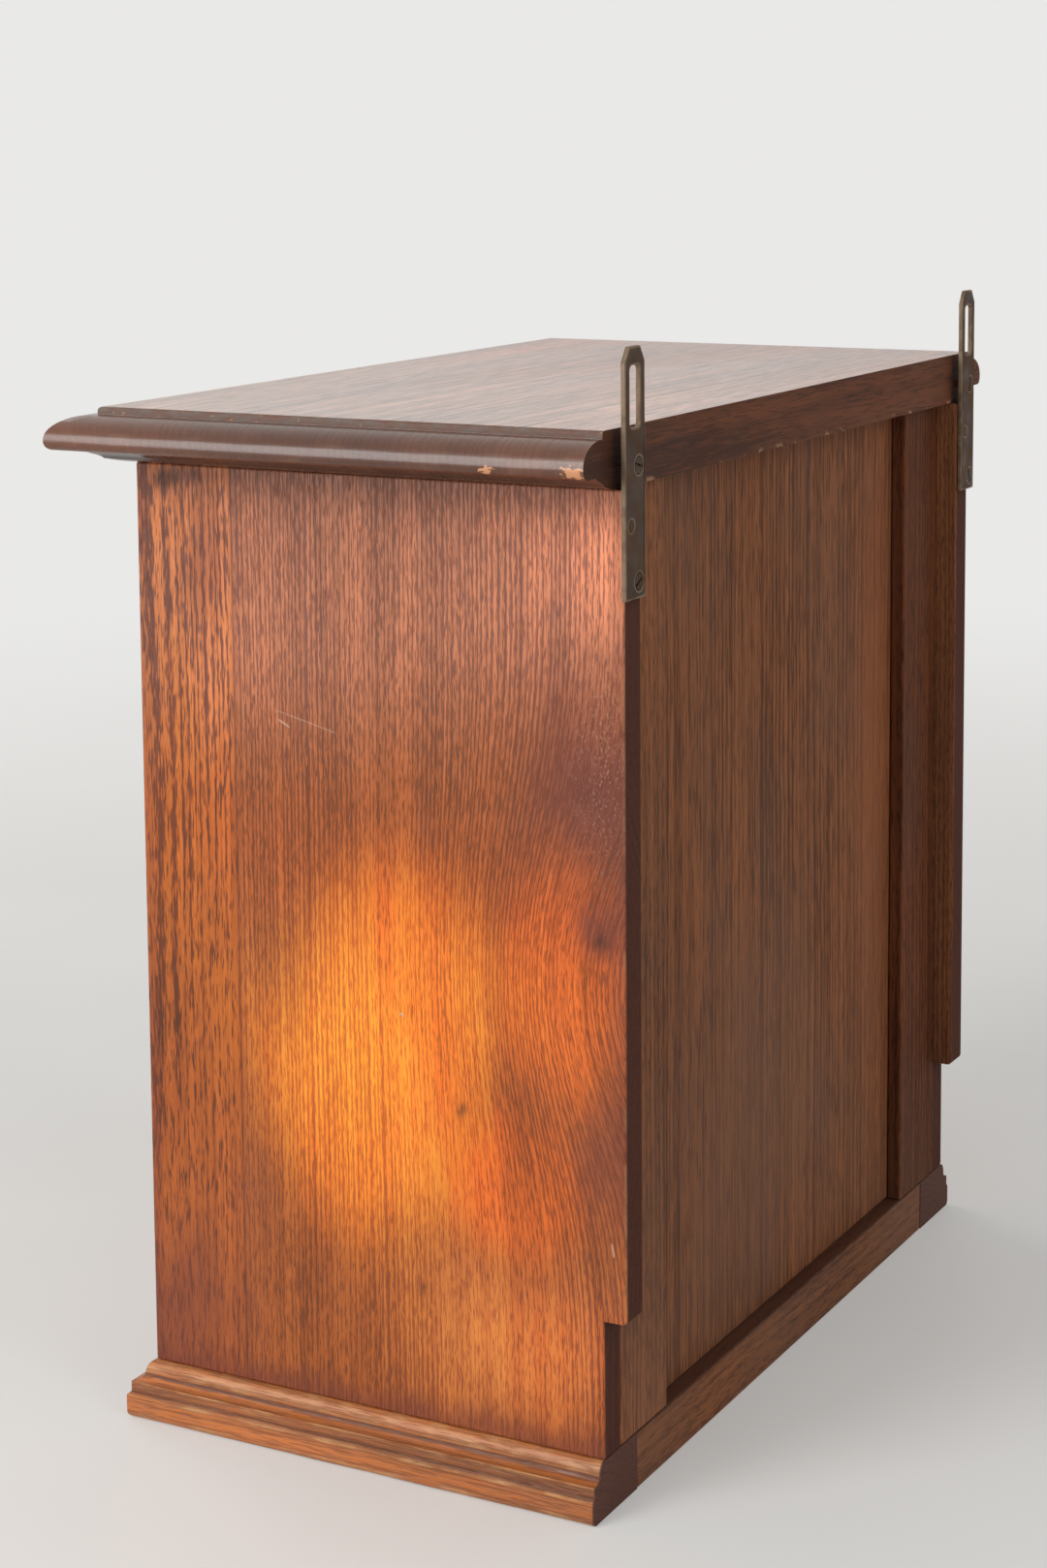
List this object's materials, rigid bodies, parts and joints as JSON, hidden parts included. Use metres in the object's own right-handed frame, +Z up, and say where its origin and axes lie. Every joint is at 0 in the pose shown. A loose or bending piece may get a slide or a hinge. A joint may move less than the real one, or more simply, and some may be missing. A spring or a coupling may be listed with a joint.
{
  "type": "wall cabinet",
  "caption": "Small oak wall cabinet with a moulded top and base, a framed door on butt hinges with a lock, a shelf inside, and slotted iron plates at the back to hang it by.",
  "frame": {"origin": "middle of the outline seen from above, on the plane that the base stands on", "axes": "+Z up; the door faces -Y, the back goes to the wall at +Y; +X is to the right for someone facing the door"},
  "size_m": [0.446, 0.2624, 0.4805],
  "materials": {
    "oak_varnished": "varnished, worn, orange brown",
    "oak_dark": "varnished, glossy, dark brown with worn edges",
    "oak_base": "varnished, worn, light brown",
    "oak_bare": "unvarnished, matt, darkened with age",
    "brass_aged": "tarnished",
    "iron_aged": "dull, brown with age",
    "steel_dull": "dull"
  },
  "bodies": {
    "carcass": {"top_board": "oak_dark", "side_left": "oak_varnished", "side_right": "oak_varnished", "base_moulding_front": "oak_base", "base_moulding_left": "oak_base", "base_moulding_right": "oak_base", "base_back_rail": "oak_bare", "floor_board": "oak_bare", "back_stile_left": "oak_bare", "back_stile_right": "oak_bare", "back_panel": "oak_bare", "shelf": "oak_bare", "shelf_bearer_left": "oak_bare", "shelf_bearer_right": "oak_bare", "door_stop": "oak_bare", "bearer_screw_left_front": "steel_dull", "bearer_screw_left_back": "steel_dull", "bearer_screw_right_front": "steel_dull", "bearer_screw_right_back": "steel_dull", "hanger_plate_left": "iron_aged", "hanger_plate_right": "iron_aged", "hanger_screw_left_upper": "iron_aged", "hanger_screw_left_lower": "iron_aged", "hanger_screw_right_upper": "iron_aged", "hanger_screw_right_lower": "iron_aged", "hanger_nail_left": "iron_aged", "hanger_nail_right": "iron_aged", "hinge_upper_frame_leaf": "brass_aged", "hinge_lower_frame_leaf": "brass_aged", "hinge_upper_pin": "brass_aged", "hinge_lower_pin": "brass_aged", "hinge_upper_frame_screw_1": "brass_aged", "hinge_upper_frame_screw_2": "brass_aged", "hinge_lower_frame_screw_1": "brass_aged", "hinge_lower_frame_screw_2": "brass_aged", "lock_keeper": "iron_aged", "keeper_screw_lower": "steel_dull", "keeper_screw_upper": "steel_dull"},
    "door": {"door_stile_hinge": "oak_varnished", "door_stile_lock": "oak_varnished", "door_rail_top": "oak_varnished", "door_rail_bottom": "oak_varnished", "door_panel": "oak_varnished", "hinge_upper_door_leaf": "brass_aged", "hinge_lower_door_leaf": "brass_aged", "hinge_upper_door_screw_1": "brass_aged", "hinge_upper_door_screw_2": "brass_aged", "hinge_lower_door_screw_1": "brass_aged", "hinge_lower_door_screw_2": "brass_aged", "lock_case": "iron_aged", "lock_screw_1": "steel_dull", "lock_screw_2": "steel_dull", "lock_screw_3": "steel_dull", "lock_screw_4": "steel_dull", "escutcheon": "brass_aged", "escutcheon_pin_lower": "brass_aged", "escutcheon_pin_upper": "brass_aged", "door_knob": "brass_aged", "knob_nut": "steel_dull"},
    "lock_bolt": {"lock_bolt": "steel_dull"}
  },
  "joints": [
    {"name": "door_hinge", "type": "hinge", "parent": "carcass", "child": "door", "pos_m": [-0.17925, -0.10645, 0.2245], "axis": [0, 0, -1], "range_deg": [0, 170]},
    {"name": "lock_bolt_slide", "type": "slide", "parent": "door", "child": "lock_bolt", "axis": [1, 0, 0], "range_m": [0, 0.007]}
  ]
}
